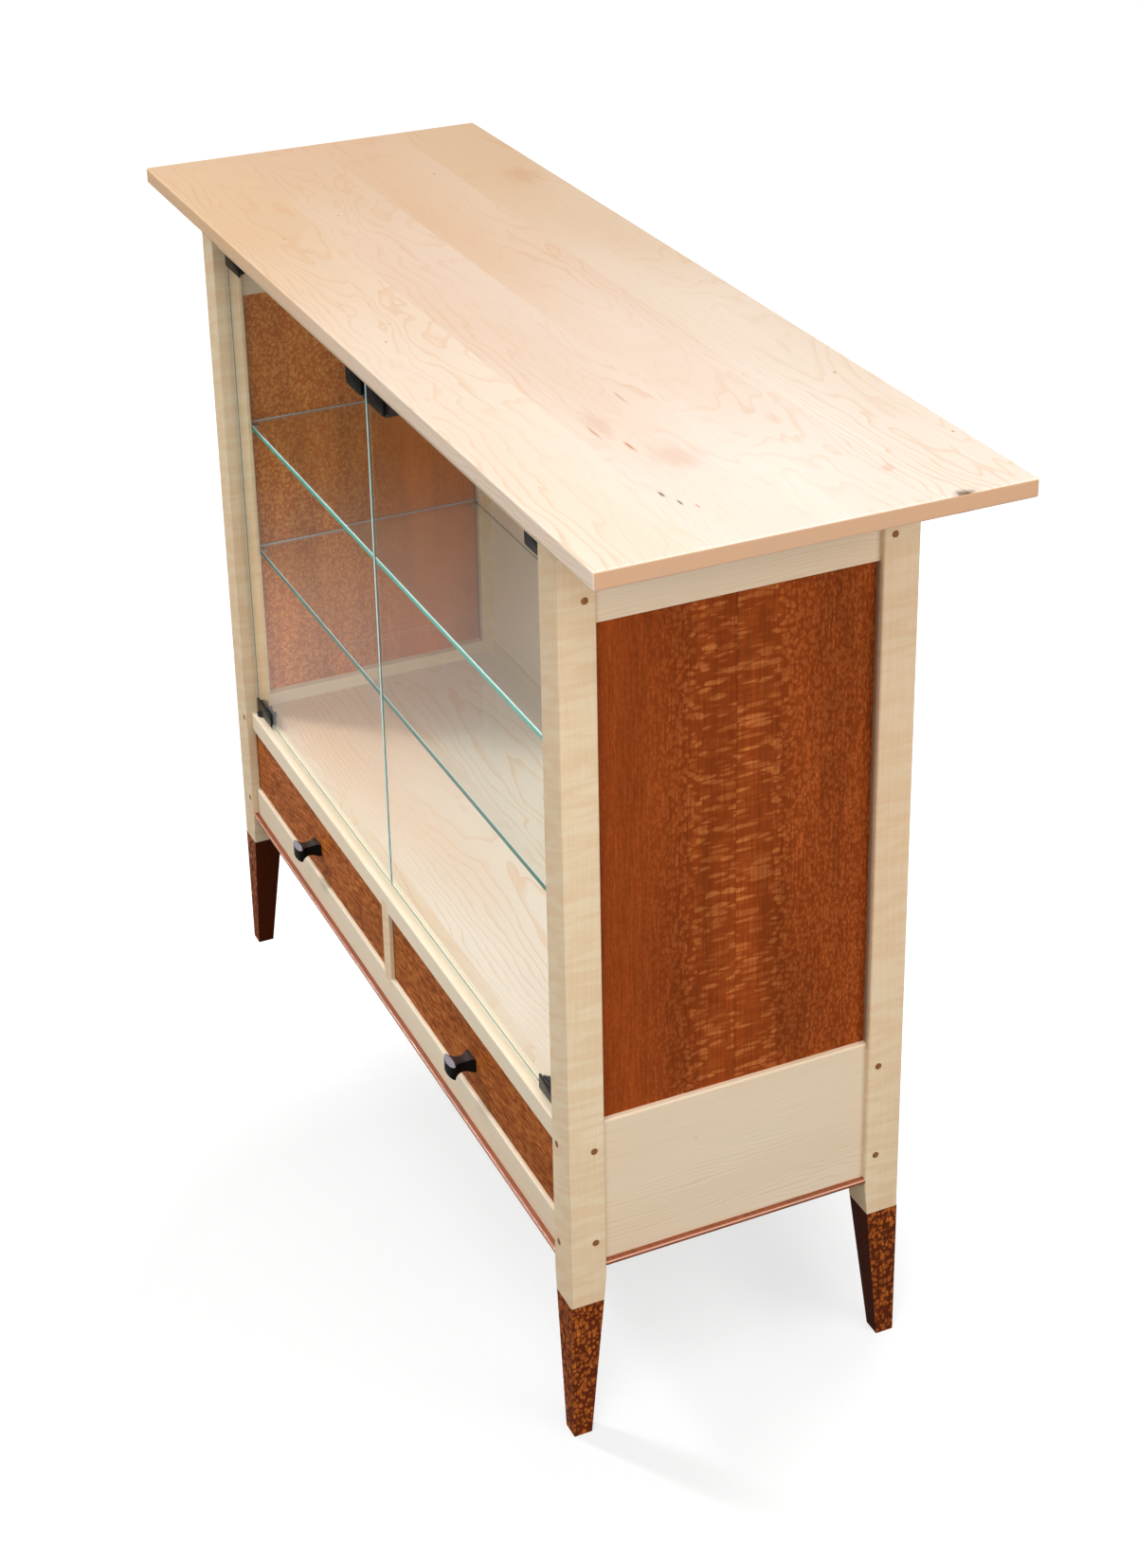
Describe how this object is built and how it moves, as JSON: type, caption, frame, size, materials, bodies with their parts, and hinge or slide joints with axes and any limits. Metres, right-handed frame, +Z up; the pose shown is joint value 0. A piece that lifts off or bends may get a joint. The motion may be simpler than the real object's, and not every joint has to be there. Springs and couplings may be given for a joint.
{
  "type": "display cabinet",
  "caption": "Glazed display cabinet on four tapered legs, with hinged glass doors, glass shelves and drawers under them, in maple with leopardwood panels.",
  "frame": {"origin": "on the floor, under the middle of the top", "axes": "+X to the right seen from the front, +Y from the front to the back, +Z up"},
  "size_m": [1.15, 0.384, 0.914],
  "materials": {
    "maple": "satin",
    "leopardwood": "satin",
    "ebony": "satin",
    "glass": "gloss",
    "black_hardware": "gloss",
    "black_plastic": "matte",
    "nylon": "matte",
    "steel": "satin"
  },
  "bodies": {
    "carcase": {"top": "maple", "post_front_left": "maple", "post_front_right": "maple", "post_back_left": "maple", "post_back_right": "maple", "foot_front_left": "leopardwood", "foot_front_right": "leopardwood", "foot_back_left": "leopardwood", "foot_back_right": "leopardwood", "end_top_rail_left": "maple", "end_top_rail_right": "maple", "end_bottom_rail_left": "maple", "end_bottom_rail_right": "maple", "end_panel_left": "leopardwood", "end_panel_right": "leopardwood", "beads": "leopardwood", "front_lower_rail": "maple", "sill_rail": "maple", "drawer_divider": "maple", "front_top_rail": "maple", "back_top_rail": "maple", "back_bottom_rail": "maple", "back_panel": "maple", "floor_panel": "maple", "shelf_upper": "glass", "shelf_lower": "glass", "shelf_pins": "steel", "latch_block": "maple", "latch_body": "black_plastic", "top_buttons": "maple", "carcase_screws": "steel", "joint_pegs": "leopardwood", "pivot_bushes": "nylon", "drawer_runners": "maple", "drawer_kickers": "maple", "drawer_stops": "maple"},
    "door_left": {"door_left_glass": "glass", "door_left_clamps": "black_hardware", "door_left_pivot_pins": "steel", "door_left_clamp_screws": "steel", "door_left_strike": "black_hardware"},
    "drawer_left": {"drawer_left_front": "leopardwood", "drawer_left_sides": "maple", "drawer_left_back": "maple", "drawer_left_bottom": "maple", "drawer_left_pull": "ebony", "drawer_left_pull_screw": "steel"},
    "latch_plunger_left": {"latch_plunger_left": "black_plastic"},
    "door_right": {"door_right_glass": "glass", "door_right_clamps": "black_hardware", "door_right_pivot_pins": "steel", "door_right_clamp_screws": "steel", "door_right_strike": "black_hardware"},
    "drawer_right": {"drawer_right_front": "leopardwood", "drawer_right_sides": "maple", "drawer_right_back": "maple", "drawer_right_bottom": "maple", "drawer_right_pull": "ebony", "drawer_right_pull_screw": "steel"},
    "latch_plunger_right": {"latch_plunger_right": "black_plastic"}
  },
  "joints": [
    {"name": "door_left_hinge", "type": "hinge", "parent": "carcase", "child": "door_left", "pos_m": [-0.4076, -0.1535, 0.5895], "axis": [0, 0, -1], "range_deg": [0, 110]},
    {"name": "drawer_left_slide", "type": "slide", "parent": "carcase", "child": "drawer_left", "axis": [0, -1, 0], "range_m": [0, 0.23]},
    {"name": "latch_plunger_left_slide", "type": "slide", "parent": "carcase", "child": "latch_plunger_left", "axis": [0, -1, 0], "range_m": [0, 0.012]},
    {"name": "door_right_hinge", "type": "hinge", "parent": "carcase", "child": "door_right", "pos_m": [0.4076, -0.1535, 0.5895], "axis": [0, 0, 1], "range_deg": [0, 110]},
    {"name": "drawer_right_slide", "type": "slide", "parent": "carcase", "child": "drawer_right", "axis": [0, -1, 0], "range_m": [0, 0.23]},
    {"name": "latch_plunger_right_slide", "type": "slide", "parent": "carcase", "child": "latch_plunger_right", "axis": [0, -1, 0], "range_m": [0, 0.012]}
  ],
  "couplings": [
    {"joint": "latch_plunger_left_slide", "follows": "door_left_hinge", "m_per_rad": 0.00625},
    {"joint": "latch_plunger_right_slide", "follows": "door_right_hinge", "m_per_rad": 0.00625}
  ]
}
